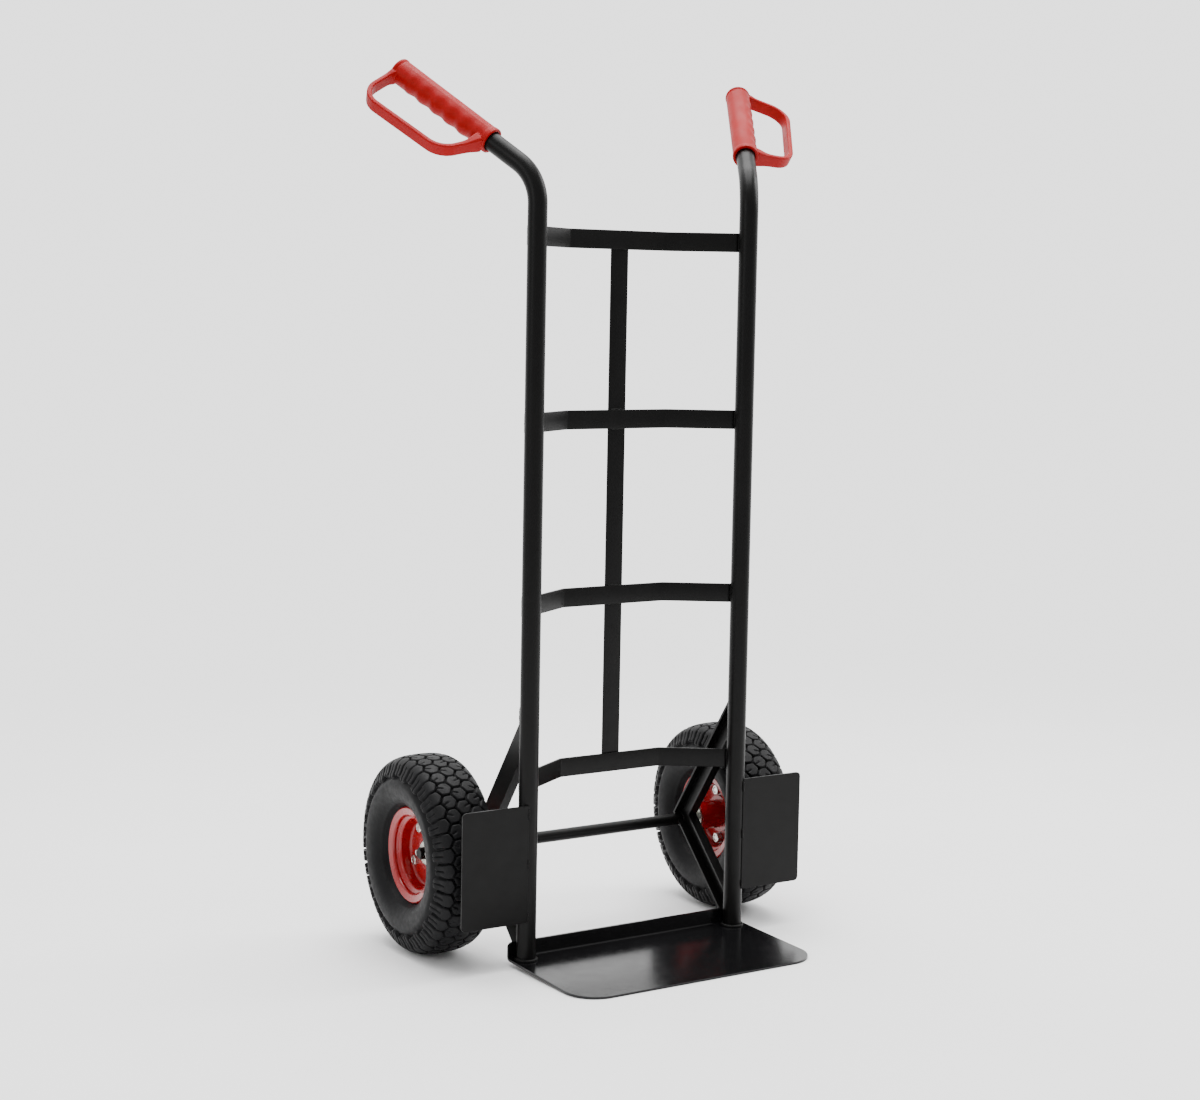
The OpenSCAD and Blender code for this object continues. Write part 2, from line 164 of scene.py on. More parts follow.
m, nt, b = new_mat("rim_red_paint")
big, mid, fine = noise(nt, 16, 3), noise(nt, 80, 3), noise(nt, 420, 2)
nt.links.new(ramp(nt, big.outputs["Fac"], [(0.3, (0.24, 0.0016, 0.0032)), (0.7, (0.30, 0.0024, 0.0044))]), b.inputs["Base Color"])
nt.links.new(remap(nt, mid.outputs["Fac"], 0.3, 0.7, 0.20, 0.30), b.inputs["Roughness"])
bump(nt, [(fine.outputs["Fac"], 0.12, 0.0004), (mid.outputs["Fac"], 0.10, 0.001)], b)
b.inputs["Specular IOR Level"].default_value = 0.3
b.inputs["Coat Weight"].default_value = 0.35
b.inputs["Coat Roughness"].default_value = 0.08
MAT["rim_paint"] = m

m, nt, b = new_mat("tyre_rubber")
big, mid, fine = noise(nt, 22, 5, 0.65), noise(nt, 160, 4, 0.6), noise(nt, 900, 3)
nt.links.new(ramp(nt, big.outputs["Fac"], [(0.30, (0.0026, 0.0026, 0.0028)), (0.60, (0.0040, 0.0040, 0.0046)), (0.80, (0.0062, 0.0061, 0.0064))]), b.inputs["Base Color"])
nt.links.new(remap(nt, mid.outputs["Fac"], 0.3, 0.7, 0.46, 0.62), b.inputs["Roughness"])
bump(nt, [(fine.outputs["Fac"], 0.30, 0.0003), (mid.outputs["Fac"], 0.25, 0.0008)], b)
b.inputs["Specular IOR Level"].default_value = 0.15
MAT["tyre_rubber"] = m

m, nt, b = new_mat("black_rubber_small")
mid, fine = noise(nt, 200, 4), noise(nt, 1500, 2)
nt.links.new(ramp(nt, mid.outputs["Fac"], [(0.3, (0.014, 0.014, 0.014)), (0.7, (0.024, 0.024, 0.024))]), b.inputs["Base Color"])
nt.links.new(remap(nt, mid.outputs["Fac"], 0.3, 0.7, 0.5, 0.65), b.inputs["Roughness"])
bump(nt, [(fine.outputs["Fac"], 0.2, 0.0002)], b)
for k in ("tube_rubber", "valve_rubber", "valve_cap_plastic"):
    MAT[k] = m


def steel(name, lo, hi, r0, r1):
    m, nt, b = new_mat(name)
    big, mid, fine = noise(nt, 70, 4, 0.6), noise(nt, 240, 4), noise(nt, 1800, 2)
    nt.links.new(ramp(nt, big.outputs["Fac"], [(0.3, lo), (0.7, hi)]), b.inputs["Base Color"])
    nt.links.new(remap(nt, mid.outputs["Fac"], 0.3, 0.7, r0, r1), b.inputs["Roughness"])
    bump(nt, [(fine.outputs["Fac"], 0.15, 0.0002)], b)
    b.inputs["Metallic"].default_value = 1.0
    return m


MAT["zinc"] = steel("zinc_plate", (0.52, 0.53, 0.47), (0.68, 0.68, 0.66), 0.22, 0.38)
MAT["bearing_steel"] = steel("ground_steel", (0.50, 0.50, 0.51), (0.62, 0.62, 0.63), 0.18, 0.28)


# ---------------------------------------------------------------- mesh helpers
def make(name, V, F, slot, body, M=STANCE, sharp=38.0, replaces=(), mat=None):
    V = np.asarray(V, float)
    V = (np.c_[V, np.ones(len(V))] @ M.T)[:, :3] / 1000.0
    me = bpy.data.meshes.new(name)
    me.from_pydata(V.tolist(), [], [list(map(int, f)) for f in F])
    finish_mesh(me, sharp)
    o = bpy.data.objects.new(name, me)
    bpy.context.scene.collection.objects.link(o)
    dress(o, slot, body, replaces, mat)
    return o


def finish_mesh(me, sharp):
    bm = bmesh.new()
    bm.from_mesh(me)
    bmesh.ops.recalc_face_normals(bm, faces=bm.faces)
    lim = R(sharp)
    for f in bm.faces:
        f.smooth = True
    for e in bm.edges:
        e.smooth = len(e.link_faces) == 2 and e.calc_face_angle(0.0) < lim
    bm.to_mesh(me)
    bm.free()


def dress(o, slot, body, replaces=(), mat=None):
    o.data.materials.clear()
    o.data.materials.append(mat or MAT[slot])
    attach(o, body)
    if replaces:
        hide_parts(*replaces)


def join_parts(parts):
    V, F, n = [], [], 0
    for v, f in parts:
        v = np.asarray(v, float)
        V.append(v)
        F += [[int(k) + n for k in q] for q in f]
        n += len(v)
    return np.vstack(V), F


def xf(part, M):
    v = np.asarray(part[0], float)
    return (np.c_[v, np.ones(len(v))] @ M.T)[:, :3], part[1]


def revolve(prof, n=96, closed=True, a0=0.0):
    """Turns a closed outline of (radius, z) round Z."""
    prof = np.asarray(prof, float)
    m = len(prof)
    a = a0 + np.arange(n) * 2 * math.pi / n
    V = np.stack([np.outer(np.cos(a), prof[:, 0]), np.outer(np.sin(a), prof[:, 0]), np.tile(prof[:, 1], (n, 1))], 2).reshape(-1, 3)
    F = []
    for i in range(n):
        k = (i + 1) % n
        for j in range(m if closed else m - 1):
            l = (j + 1) % m
            F.append((i * m + j, k * m + j, k * m + l, i * m + l))
    return V, F


def soften(pts, r, seg=3, closed=True):
    """Rounds every corner of an outline by up to r."""
    pts = [np.asarray(p, float) for p in pts]
    n, out = len(pts), []
    for i, q in enumerate(pts):
        if not closed and i in (0, n - 1):
            out.append(q)
            continue
        p, s = pts[i - 1], pts[(i + 1) % n]
        u, v = p - q, s - q
        lu, lv = np.linalg.norm(u), np.linalg.norm(v)
        u, v = u / lu, v / lv
        c = float(np.clip(u @ v, -1, 1))
        h = math.acos(c) / 2
        rr = r[i] if hasattr(r, "__len__") else r
        if math.degrees(h) > 86 or rr <= 0:
            out.append(q)
            continue
        l = min(rr / math.tan(h), 0.48 * lu, 0.48 * lv)
        a, b_, mid = q + u * l, q + v * l, None
        for k in range(seg + 1):
            t = k / seg
            # a circular arc, close enough as a rational quadratic
            w = math.sin(h)
            den = (1 - t) ** 2 + 2 * w * t * (1 - t) + t ** 2
            out.append(((1 - t) ** 2 * a + 2 * w * t * (1 - t) * q + t ** 2 * b_) / den)
    return np.array(out)


def rrect(w, h, r, seg=3):
    return soften([(-w / 2, -h / 2), (w / 2, -h / 2), (w / 2, h / 2), (-w / 2, h / 2)], r, seg)


def circle(r, n):
    a = np.arange(n) * 2 * math.pi / n
    return np.stack([r * np.cos(a), r * np.sin(a)], 1)


def sweep(path, sec, up=None, closed=False, cap=True, scale=None):
    """Carries a section along a path. The section's first axis is across the path, its second is along up."""
    path = np.asarray(path, float)
    n, m = len(path), len(sec)
    if closed:
        tan = np.roll(path, -1, 0) - np.roll(path, 1, 0)
    else:
        tan = np.gradient(path, axis=0)
    tan /= np.linalg.norm(tan, axis=1)[:, None]
    V = np.zeros((n, m, 3))
    ref = np.asarray(up if up is not None else (0, 0, 1.0), float)
    if up is None and abs(tan[0] @ ref) > 0.9:
        ref = np.array((1.0, 0, 0))
    for i in range(n):
        t = tan[i]
        b_ = ref - t * (ref @ t)
        b_ /= np.linalg.norm(b_)
        a = np.cross(b_, t)
        if up is None:
            ref = b_
        s = sec if scale is None else sec * scale[i]
        V[i] = path[i] + np.outer(s[:, 0], a) + np.outer(s[:, 1], b_)
    V = V.reshape(-1, 3)
    F = []
    for i in range(n if closed else n - 1):
        k = (i + 1) % n
        for j in range(m):
            l = (j + 1) % m
            F.append((i * m + j, i * m + l, k * m + l, k * m + j))
    if cap and not closed:
        F.append(tuple(range(m))[::-1])
        F.append(tuple(range((n - 1) * m, n * m)))
    return V, F


def resample(path, step, closed=False):
    path = np.asarray(path, float)
    if closed:
        path = np.vstack([path, path[:1]])
    d = np.r_[0, np.cumsum(np.linalg.norm(np.diff(path, axis=0), axis=1))]
    n = max(2, int(round(d[-1] / step)))
    t = np.linspace(0, d[-1], n + 1)
    out = np.stack([np.interp(t, d, path[:, k]) for k in range(3)], 1)
    return out[:-1] if closed else out


def weld(path, r=2.1, pitch=2.6, closed=False, seed=0):
    """A rippled weld bead with tapered ends."""
    p = resample(path, 0.55, closed)
    n = len(p)
    s = np.arange(n) * 0.55
    k = np.abs(np.sin(math.pi * s / pitch + seed))
    sc = 0.84 + 0.2 * k + 0.07 * np.sin(s * 0.37 + seed * 1.7)
    if not closed:
        e = np.minimum(s, s[-1] - s) / (1.6 * r)
        sc *= np.sqrt(np.clip(e * (2 - np.clip(e, 0, 1)), 0.03, 1))
    q = p.copy()
    if not closed:
        q += 0.12 * np.stack([np.sin(s * 0.9 + seed), np.cos(s * 0.7 + seed), np.sin(s * 0.8 + 2 * seed)], 1)
    return sweep(q, circle(r, 10), closed=closed, scale=sc)


def bevelled(node, width=0.6, segs=2, angle=28.0, slot=None, body="frame", name=None):
    """A CAD node's own shape with its edges rounded off."""
    src = frame["nodes"][node]
    me = src.data.copy()
    bm = bmesh.new()
    bm.from_mesh(me)
    bmesh.ops.remove_doubles(bm, verts=bm.verts, dist=2e-6)
    bmesh.ops.dissolve_limit(bm, angle_limit=R(0.6), verts=bm.verts, edges=bm.edges, delimit=set())
    es = [e for e in bm.edges if len(e.link_faces) == 2 and e.calc_face_angle(0.0) > R(angle)]
    bmesh.ops.bevel(bm, geom=es, offset=width / 1000, segments=segs, profile=0.5, affect="EDGES", clamp_overlap=True)
    bmesh.ops.recalc_face_normals(bm, faces=bm.faces)
    for f in bm.faces:
        f.smooth = True
    for e in bm.edges:
        e.smooth = len(e.link_faces) == 2 and e.calc_face_angle(0.0) < R(50)
    bm.to_mesh(me)
    bm.free()
    o = bpy.data.objects.new(name or node + "_edges", me)
    bpy.context.scene.collection.objects.link(o)
    w = o.modifiers.new("wn", "WEIGHTED_NORMAL")
    w.keep_sharp = True
    w.weight = 80
    dress(o, slot, body, (node,))
    return o


# ---------------------------------------------------------------- frame tubes
for s in (-1, 1):
    side = SIDE[s]
    rz = Rot("Z", -s * SPLAY)
    pts = [np.array((s * XU, 0, 3.0)), np.array((s * XU, 0, BEND_Z))]
    for k in range(1, 41):
        a = R(BEND_A) * k / 40
        pts.append(np.array((s * XU, 0, BEND_Z)) + (rz[:3, :3] @ np.array((0, BEND_R * (1 - math.cos(a)), BEND_R * math.sin(a)))))
    a = R(BEND_A)
    d = rz[:3, :3] @ np.array((0, math.sin(a), math.cos(a)))
    pts.append(pts[-1] + d * (NECK + TUBE_IN))
    V, F = sweep(pts, circle(TR, 64), up=rz[:3, 0])
    make(f"{side}_upright_tube", V, F, "frame_paint", "frame", replaces=(f"{side}_upright",))

# ---------------------------------------------------------------- flat bars
for nm, z in BARS.items():
    c = [(-167, 14), (-153.4, 14), (-77.4, 63), (77.4, 63), (153.4, 14), (167, 14)]
    p = soften(c, [0, 9, 9, 9, 9, 0], 7, closed=False)
    path = np.c_[p, np.full(len(p), z)]
    V, F = sweep(path, rrect(3.0, 25.0, 0.8), up=(0, 0, 1))
    make(f"{nm}_crossbar_bar", V, F, "frame_paint", "frame", replaces=(f"{nm}_crossbar",))
z0, z1 = BARS["bottom"] - 9, BARS["top"] + 9
V, F = sweep([(1.5, 66, z0), (1.5, 66, z0 + 0.6), (1.5, 66, z1 - 0.6), (1.5, 66, z1)], rrect(26.0, 3.0, 0.8), up=(0, 1, 0),
             scale=np.array([0.98, 1, 1, 0.98]))
make("centre_strip_bar", V, F, "frame_paint", "frame", replaces=("centre_strip",))

# ---------------------------------------------------------------- toe plate: one sheet, bent up at the back
def toe_sheet():
    t, ri = TOE_T, 2.2
    y1 = TR + t
    # developed line of the upper face: flat, bend, lip
    flat_end = TR - ri
    rows = []
    for y in np.r_[-TOE_FRONT + 42 * (1 - np.cos(np.linspace(0, math.pi / 2, 22))), np.linspace(-TOE_FRONT + 50, flat_end, 14)]:
        rows.append((y, TOE_T, 0.0))
    for k in range(1, 9):
        a = R(90) * k / 8
        rows.append((flat_end + ri * math.sin(a), TOE_T + ri * (1 - math.cos(a)), a))
    for z in np.r_[np.linspace(TOE_T + ri + 1, TOE_LIP - 6, 4), TOE_LIP - 6 + 6 * np.sin(np.linspace(0.2, math.pi / 2, 8))]:
        rows.append((TR, z, R(90)))
    V, hw = [], []
    cols = 41
    for y, z, a in rows:
        w = TOE_W / 2
        if y < -TOE_FRONT + 42:
            dy = (-TOE_FRONT + 42) - y
            w = TOE_W / 2 - 42 + math.sqrt(max(42 ** 2 - dy ** 2, 0))
        if a > 1.5 and z > TOE_LIP - 6:
            dz = z - (TOE_LIP - 6)
            w = TOE_W / 2 - 6 + math.sqrt(max(36 - dz ** 2, 0))
        hw.append(w)
    n = len(rows)
    top = np.zeros((n, cols, 3))
    bot = np.zeros((n, cols, 3))
    for i, (y, z, a) in enumerate(rows):
        u = np.sin(np.linspace(-math.pi / 2, math.pi / 2, cols)) * hw[i]
        nx, nz = math.sin(a), -math.cos(a)
        top[i] = np.stack([u, np.full(cols, y), np.full(cols, z)], 1)
        bot[i] = np.stack([u, np.full(cols, y + nx * t), np.full(cols, z + nz * t)], 1)
    V = np.vstack([top.reshape(-1, 3), bot.reshape(-1, 3)])
    F, off = [], n * cols
    for i in range(n - 1):
        for j in range(cols - 1):
            q = (i * cols + j, i * cols + j + 1, (i + 1) * cols + j + 1, (i + 1) * cols + j)
            F.append(q)
            F.append(tuple(off + k for k in q[::-1]))
    loop = [j for j in range(cols)] + [i * cols + cols - 1 for i in range(1, n)] + [(n - 1) * cols + j for j in range(cols - 2, -1, -1)] + [i * cols for i in range(n - 2, 0, -1)]
    for a, b_ in zip(loop, loop[1:] + loop[:1]):
        F.append((b_, a, off + a, off + b_))
    return V, F


V, F = toe_sheet()
o = make("toe_plate_sheet", V, F, "toe_plate_paint", "frame", replaces=("toe_plate",), sharp=50)
bv = o.modifiers.new("edge", "BEVEL")
bv.width = 0.0007
bv.segments = 2
bv.limit_method = "ANGLE"
bv.angle_limit = R(50)
bv.harden_normals = False
wn = o.modifiers.new("wn", "WEIGHTED_NORMAL")
wn.keep_sharp = True

# ---------------------------------------------------------------- plates, brackets and turned parts keep the CAD shape, with rounded edges
for s in (-1, 1):
    bevelled(f"{SIDE[s]}_wheel_guard", 0.7, 2, slot="frame_paint")
    bevelled(f"{SIDE[s]}_axle_bracket", 0.9, 3, slot="frame_paint")
    bevelled(f"{SIDE[s]}_hub", 0.5, 2, slot="rim_paint", body=f"{SIDE[s]}_wheel")
bevelled("axle", 0.4, 2, slot="frame_paint")
bevelled("axle_spacers", 0.4, 2, slot="zinc")
bevelled("axle_washers", 0.35, 2, slot="zinc")
bevelled("thrust_washers", 0.3, 2, slot="zinc")


# ---------------------------------------------------------------- rims
def arc(cx, cy, r, a0, a1, n):
    return [(cx + r * math.cos(R(a0 + (a1 - a0) * i / n)), cy + r * math.sin(R(a0 + (a1 - a0) * i / n))) for i in range(n + 1)]


def rim_profile():
    W = 26.5
    p = [(19.6, 0), (26.0, 0), (27.2, 0.0)] + [(40.5, 0)] + arc(40.5, 4.5, 4.5, -90, 0, 10)[1:]
    p += [(45.0, W - 13)] + arc(49.0, W - 13, 4.0, 180, 90, 10)[1:]
    p += [(51.3, W - 7.5), (51.3, W - 4.4), (52.5, W - 2.2), (58.5, W - 0.8)]
    p += arc(59.9, W - 3.6, 3.6, 75, 0, 10)
    p += [(61.6, W - 3.7)] + arc(59.4, W - 3.6, 2.1, 0, 80, 8)[1:]
    p += [(53.5, W - 4.1), (53.3, W - 7.5), (51.6, W - 11.0)] + arc(49.0, W - 13, 2.0, 90, 180, 8)[1:]
    p += [(47.0, 4.5)] + arc(40.5, 4.5, 6.5, 0, -90, 10)[1:] + [(19.6, -2)]
    return soften(p, 0.9, 3)


RIM = rim_profile()
for s in (-1, 1):
    side = SIDE[s]
    for nm, flip in (("outer", 1), ("inner", -1)):
        V, F = revolve(np.c_[RIM[:, 0], (RIM[:, 1] + 2) * flip], 144)
        make(f"{side}_rim_{nm}_half", V, F, "rim_paint", f"{side}_wheel", M=at_wheel(s), replaces=(f"{side}_rim_{nm}",), sharp=60)
    V, F = weld(resample(np.c_[circle(20.2, 64), np.full(64, 2.3)], 0.55, True), 1.5, 2.4, True, 0.3)
    make(f"{side}_hub_weld", V, F, "rim_paint", f"{side}_wheel", M=at_wheel(s))


# ---------------------------------------------------------------- tyres, with every tread block as geometry
def smooth(e0, e1, x):
    t = np.clip((x - e0) / (e1 - e0), 0, 1)
    return t * t * (3 - 2 * t)


def tyre():
    w, Rt, lugs = 45.0, 130.0, 40
    half = [(0, 130.0), (6, 129.97), (18, 129.2), (30, 126.5)]
    half = [(0.0, 130.0), (6, 129.97), (12, 129.7), (18, 129.2), (24, 128.2), (30, 126.4), (35, 123.4), (38.2, 120.0)]
    half += [(r[1], r[0]) for r in [(102 + 14 * math.cos(R(a)), 31 + 14 * math.sin(R(a))) for a in (46, 54, 62, 70, 78, 86, 90)]]
    side = [(19 + 26 * math.sin(R(a)), 89 + 26 * math.cos(R(a))) for a in np.linspace(90, 155, 22)]
    side = [(45.0, 98.0), (45.0, 93.0)] + side
    P = np.array(half + side)  # (z, r) from the crown to the bead
    d = np.r_[0, np.cumsum(np.linalg.norm(np.diff(P, axis=0), axis=1))]
    keep = np.r_[True, np.diff(d) > 0.05]
    P, d = P[keep], d[keep]
    # smooth the outline a little, so the shoulder has no flats
    tt = np.r_[np.arange(0, 66, 1.0), np.arange(66, d[-1], 2.0), d[-1]]
    z = np.interp(tt, d, P[:, 0])
    r = np.interp(tt, d, P[:, 1])
    for _ in range(10):
        z[1:-1] = 0.25 * z[:-2] + 0.5 * z[1:-1] + 0.25 * z[2:]
        r[1:-1] = 0.25 * r[:-2] + 0.5 * r[1:-1] + 0.25 * r[2:]
        r[0] = 130.0
    z = np.minimum(z, 44.98)
    # bead, joined to the inner wall
    v = np.r_[-tt[:0:-1], tt]
    zz = np.r_[-z[:0:-1], z]
    rr = np.r_[r[:0:-1], r]
    tz, tr_ = np.gradient(zz), np.gradient(rr)
    ln = np.hypot(tz, tr_)
    nz, nr = -tr_ / ln, tz / ln  # outward normal of the outline
    n = 816
    ang = np.arange(n) * 2 * math.pi / n
    U = ang[:, None] * Rt * np.ones_like(v)[None]
    VV = np.ones(n)[:, None] * v[None]
    pitch = 2 * math.pi * Rt / lugs
    rows = [(-35.0, 0.25), (-17.5, 0.75), (0.0, 0.25), (17.5, 0.75), (35.0, 0.25)]
    D = []
    for v0, ph in rows:
        for off in (-1, 0, 1):
            c = (np.round(U / pitch - ph) + off + ph) * pitch
            # curved rows: blocks bow along the tread like scales
            D.append(np.stack([(U - c) ** 2 * 1.0 + ((VV - v0) * (1.0)) ** 2, c, np.full_like(U, v0)], 0))
    D = np.array(D)
    order = np.argsort(D[:, 0], axis=0)
    g = lambda k, q: np.take_along_axis(D[:, q], order[k][None], 0)[0]
    d1, c1, r1 = g(0, 0), g(0, 1), g(0, 2)
    edge = None
    for k in (1, 2, 3):
        dk, ck, rk = g(k, 0), g(k, 1), g(k, 2)
        bd = (dk - d1) / (2 * np.hypot(ck - c1, rk - r1))
        edge = np.exp(-1.3 * bd) if edge is None else edge + np.exp(-1.3 * bd)
    edge = -np.log(edge) / 1.3
    wide = smooth(36, 44, np.abs(VV))
    h = smooth(0.55 + 1.15 * wide, 1.45 + 1.35 * wide, edge)
    # a short notch across each inner block, and a curved cut into the long shoulder blocks
    du, dv = U - c1, VV - r1
    lean_ = np.where(np.round(c1 / pitch * 4) % 8 < 4, 0.45, -0.45)
    notch = smooth(1.15, 0.55, np.abs(du - lean_ * dv)) * smooth(0.2, 1.6, dv * np.where(r1 == 0, np.where(lean_ > 0, 1, -1), np.sign(r1)))
    h = np.where(np.abs(r1) < 30, h * (1 - 0.36 * notch), h * (1 - 0.5 * smooth(1.2, 0.6, np.abs(du)) * smooth(40, 42, np.abs(VV))))
    # the blocks end on the shoulder, long and short in turn
    k = np.round(c1 / pitch - 0.25).astype(int) % 2
    end = np.where(k == 0, 61.0, 57.0)
    h *= smooth(end + 1.2, end - 1.2, np.abs(VV) + 0.035 * du ** 2)
    depth = 5.4 * smooth(67.0, 57.0, np.abs(v))[None] + 0 * U
    low = depth * (1 - h)
    # a fine raised line where the tread meets the side, and one above the bead
    ring = 0.5 * np.exp(-((np.abs(v) - 66) / 1.2) ** 2) + 0.7 * np.exp(-((np.abs(v) - 98) / 1.4) ** 2)
    zo = zz[None] - nz[None] * (low - 0) + nz[None] * ring[None] * (np.abs(zz) < 44.0)[None]
    ro = rr[None] - nr[None] * low + nr[None] * ring[None] * (np.abs(zz) < 44.0)[None]
    zo = np.clip(zo, -44.99, 44.99)
    inner = [(63.9, 23.8), (53.7, 23.6), (53.6, 15.6), (60, 17)] + [(86 + 27 * math.cos(R(a)), 10 + 27 * math.sin(R(a))) for a in np.linspace(165, 90, 6)]
    inner += [(100, 36.0), (110, 29), (116, 16), (117.5, 0)]
    inner += [(a, -b_) for a, b_ in inner[-2::-1]]
    inner = np.array(inner)
    m0, m1 = len(v), len(inner)
    m = m0 + m1
    X = np.zeros((n, m, 3))
    X[:, :m0, 0] = ro * np.cos(ang)[:, None]
    X[:, :m0, 1] = ro * np.sin(ang)[:, None]
    X[:, :m0, 2] = zo
    X[:, m0:, 0] = np.outer(np.cos(ang), inner[:, 0])
    X[:, m0:, 1] = np.outer(np.sin(ang), inner[:, 0])
    X[:, m0:, 2] = inner[:, 1][None]
    i = np.arange(n)[:, None]
    j = np.arange(m)[None]
    i2, j2 = (i + 1) % n, (j + 1) % m
    F = np.stack([i * m + j, i2 * m + j, i2 * m + j2, i * m + j2], 2).reshape(-1, 4)
    return X.reshape(-1, 3), F


TV, TF = tyre()
for s in (-1, 1):
    side = SIDE[s]
    M = at_wheel(s) @ Rot("Z", SPIN[s])
    V = (np.c_[TV, np.ones(len(TV))] @ M.T)[:, :3] / 1000
    me = bpy.data.meshes.new(f"{side}_tyre_tread")
    me.vertices.add(len(V))
    me.vertices.foreach_set("co", V.astype(np.float32).ravel())
    me.loops.add(TF.size)
    me.loops.foreach_set("vertex_index", TF.astype(np.int32).ravel())
    me.polygons.add(len(TF))
    me.polygons.foreach_set("loop_start", (np.arange(len(TF)) * 4).astype(np.int32))
    me.polygons.foreach_set("use_smooth", np.ones(len(TF), bool))
    me.update(calc_edges=True)
    me.validate()
    bm = bmesh.new()
    bm.from_mesh(me)
    bmesh.ops.recalc_face_normals(bm, faces=bm.faces)
    bm.to_mesh(me)
    bm.free()
    o = bpy.data.objects.new(f"{side}_tyre_tread", me)
    bpy.context.scene.collection.objects.link(o)
    dress(o, "tyre_rubber", f"{side}_wheel", (f"{side}_tyre",))


# ---------------------------------------------------------------- bolts, nuts, split pins
def hex_solid(af, h, top=True, bottom=False, hole=None):
    """Hexagon with the turned chamfer that cuts its corners."""
    n = 48
    rc = af / 2 * 0.96
    rh = np.array([af / 2 / math.cos(R((360 * k / n + 30) % 60 - 30)) for k in range(n)])
    a = np.arange(n) * 2 * math.pi / n
    drop = (rh - rc) * 0.55
    rings = []
    r_in = hole if hole else 0.01
    ring = lambda r, z: np.stack([r * np.cos(a), r * np.sin(a), z * np.ones(n)], 1)
    one = np.ones(n)
    if hole:
        rings.append(ring(one * hole, one * 0.6))
        rings.append(ring(one * (hole + 0.6), one * 0))
    else:
        rings.append(ring(one * 0.01, one * 0))
    if bottom:
        rings.append(ring(one * rc, one * 0))
        rings.append(ring(rh, drop))
    else:
        rings.append(ring(rh, one * 0))
    if top:
        rings.append(ring(rh, h - drop))
        rings.append(ring(one * rc, one * h))
    else:
        rings.append(ring(rh, one * h))
    if hole:
        rings.append(ring(one * (hole + 0.6), one * h))
        rings.append(ring(one * hole, one * (h - 0.6)))
    else:
        rings.append(ring(one * rc * 0.82, one * h))
        rings.append(ring(one * rc * 0.76, one * (h - 0.35)))
        rings.append(ring(one * 0.01, one * (h - 0.35)))
    V = np.vstack(rings)
    F = []
    m = len(rings)
    for i in range(m if hole else m - 1):
        k = (i + 1) % m
        for j in range(n):
            l = (j + 1) % n
            F.append((i * n + j, i * n + l, k * n + l, k * n + j))
    if not hole:
        F.append(tuple(range(n))[::-1])
        F.append(tuple(range((m - 1) * n, m * n)))
    return V, F


def thread(r, z0, z1, pitch=1.25):
    pts = [(0.01, z0), (r - 0.9, z0)]
    z = z0 + 0.6
    while z < z1 - pitch:
        pts += [(r - 0.62, z), (r, z + pitch / 2)]
        z += pitch
    pts += [(r - 0.62, z), (r - 0.3, z1), (0.01, z1)]
    return revolve(pts, 32)


for s in (-1, 1):
    side = SIDE[s]
    bolts, nuts, washers = [], [], []
    for k in range(4):
        B = Rot("Z", SPIN[s] + 90 * k) @ T(34.5, 0, 0)
        bolts.append(xf(hex_solid(12.4, 4.8), B @ T(0, 0, 2) @ Rot("Z", 17 * k + 8)))
        bolts.append(xf(thread(3.95, -9.8, 2.4), B))
        nuts.append(xf(hex_solid(12.4, 6.5, True, True, 3.6), B @ T(0, 0, -10.5) @ Rot("Z", 23 * k + 4)))
        washers.append(xf(revolve(soften([(4.1, -4), (6, -4), (6, -2), (4.1, -2)], 0.35, 2), 40), B))
    for nm, parts in (("rim_bolts", bolts), ("rim_nuts", nuts), ("spring_washers", washers)):
        V, F = join_parts(parts)
        make(f"{side}_{nm}_set", V, F, "zinc", f"{side}_wheel", M=at_wheel(s), replaces=(f"{side}_{nm}",), sharp=30)


def split_pin(down):
    """Two half wires side by side, a round eye, and legs bent down."""
    wire = soften([(-1.05, -0.95), (1.05, -0.95), (1.05, 0.0), (-1.05, 0.0)], 0.8, 4)
    parts = []
    r = 3.6
    for sgn in (1, -1):
        p = []
        ang = 42 if sgn > 0 else 78
        tip = 11.6
        for q in np.linspace(0, 1, 14):  # half the eye
            a = R(180 - 180 * q + 0)
            p.append((-14.4 + r * math.cos(a) - 0.0, sgn * r * math.sin(a) * 0.92, 0))
        p = p[:-2] + [(-10.2, sgn * 0.75, 0)]
        p += [(-9.0, sgn * 0.62, 0), (8.6, sgn * 0.62, 0)]
        turn = down * ang
        cx = 8.6
        L = 12.5
        for q in np.linspace(0.15, 1, 8):
            a = R(turn * q)
            cx_, cy_ = p[-1][0], p[-1][1]
            p.append((cx_ + 0.55 * math.cos(a) * 1.1, cy_ + 0.55 * math.sin(a) * 1.1, 0))
        a = R(turn)
        p.append((p[-1][0] + L * 0.75 * math.cos(a), p[-1][1] + L * 0.75 * math.sin(a), 0))
        P = resample(soften(np.array(p), 0.6, 2, closed=False), 0.6)
        parts.append(sweep(P, circle(1.0, 14), up=(0, 0, 1)))
    return join_parts(parts)


pins = []
for s, turn, down in ((-1, -80, -1), (1, -100, 1)):
    M = T(s * WHEEL_X, AXLE_Y, AXLE_Z) @ Rot("Y", s * 90) @ T(0, 0, AXLE_HALF - WHEEL_X - 4.6) @ Rot("Z", turn)
    pins.append(xf(split_pin(down), M))
V, F = join_parts(pins)
make("split_pin_wires", V, F, "zinc", "frame", replaces=("split_pins",), sharp=60)

# bearing seals, seen between the rings at the hub's ends
for s in (-1, 1):
    side = SIDE[s]
    parts = []
    for z, d in ((-44 + 1.5, 1), (3.5 - 1 - 0.5, -1)):
        prof = soften([(10.8, z), (14.7, z), (14.7, z + 0.8 * d), (10.8, z + 0.8 * d)], 0.25, 2)
        parts.append(revolve(prof, 64))
    V, F = join_parts(parts)
    make(f"{side}_bearing_seals", V, F, "valve_rubber", f"{side}_wheel", M=at_wheel(s))


